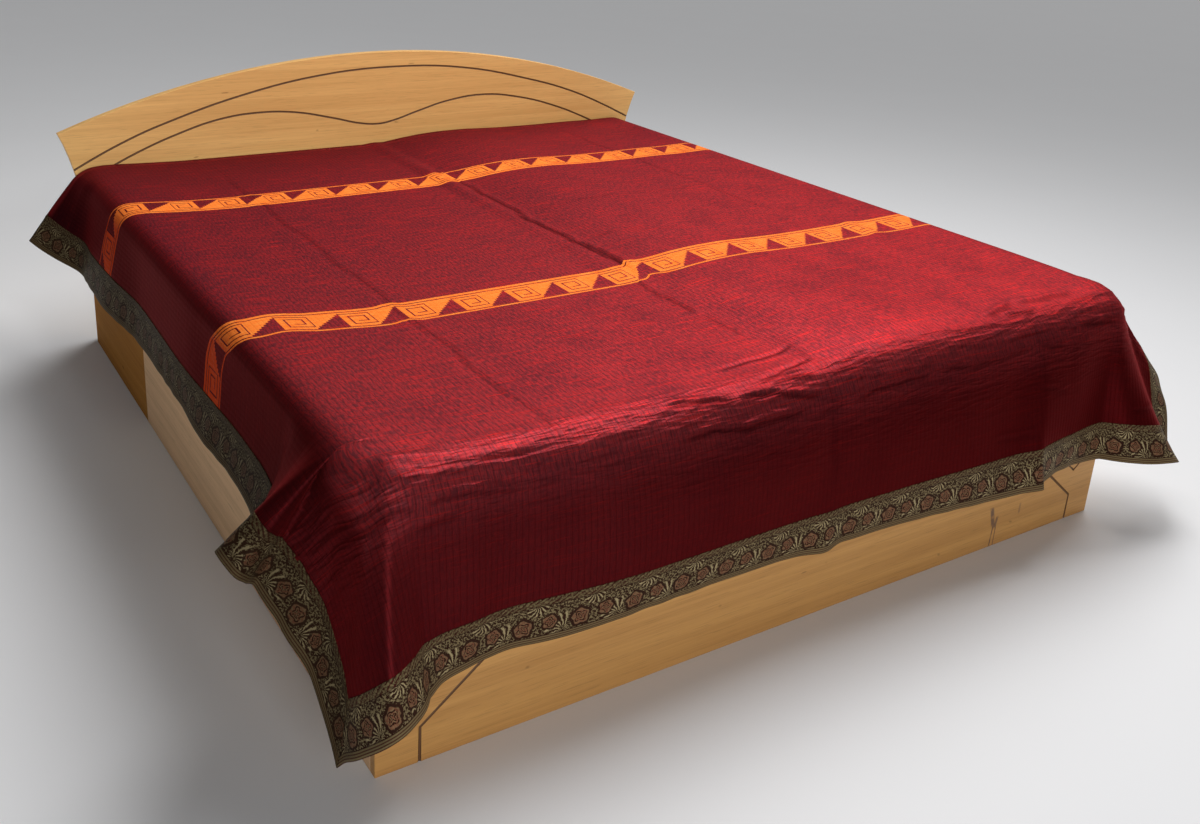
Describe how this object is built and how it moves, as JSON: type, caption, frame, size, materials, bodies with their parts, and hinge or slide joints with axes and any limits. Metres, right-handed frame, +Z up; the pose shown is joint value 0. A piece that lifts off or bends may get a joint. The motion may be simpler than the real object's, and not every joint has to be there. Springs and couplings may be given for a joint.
{
  "type": "bedspread on box bed",
  "caption": "Satin bedspread with woven bands and a brocade border, draped over a double box bed with an arched headboard.",
  "frame": {"origin": "centre of the underside of the bed's base board, on the floor", "axes": "+X across the bed to the right as seen from the foot, +Y from the foot toward the headboard, +Z up"},
  "size_m": [2.2461, 2.1748, 0.82],
  "materials": {
    "maroon_satin": "shot silk satin, finely quilted, soft sheen",
    "brocade": "woven olive-gold brocade with rose-red flowers",
    "ticking": "plain woven cotton",
    "honey_veneer": "satin lacquered honey veneer",
    "beige_veneer": "satin lacquered pale veneer"
  },
  "bodies": {
    "root": {"quilted_panel": "maroon_satin", "border_left": "brocade", "border_foot": "brocade", "border_right": "brocade", "mattress": "ticking", "base_board": "honey_veneer", "top_boards": "honey_veneer", "foot_panel": "honey_veneer", "side_panel_left_front": "beige_veneer", "side_panel_left_rear": "honey_veneer", "side_panel_right_front": "beige_veneer", "side_panel_right_rear": "honey_veneer", "headboard": "honey_veneer"}
  },
  "joints": []
}
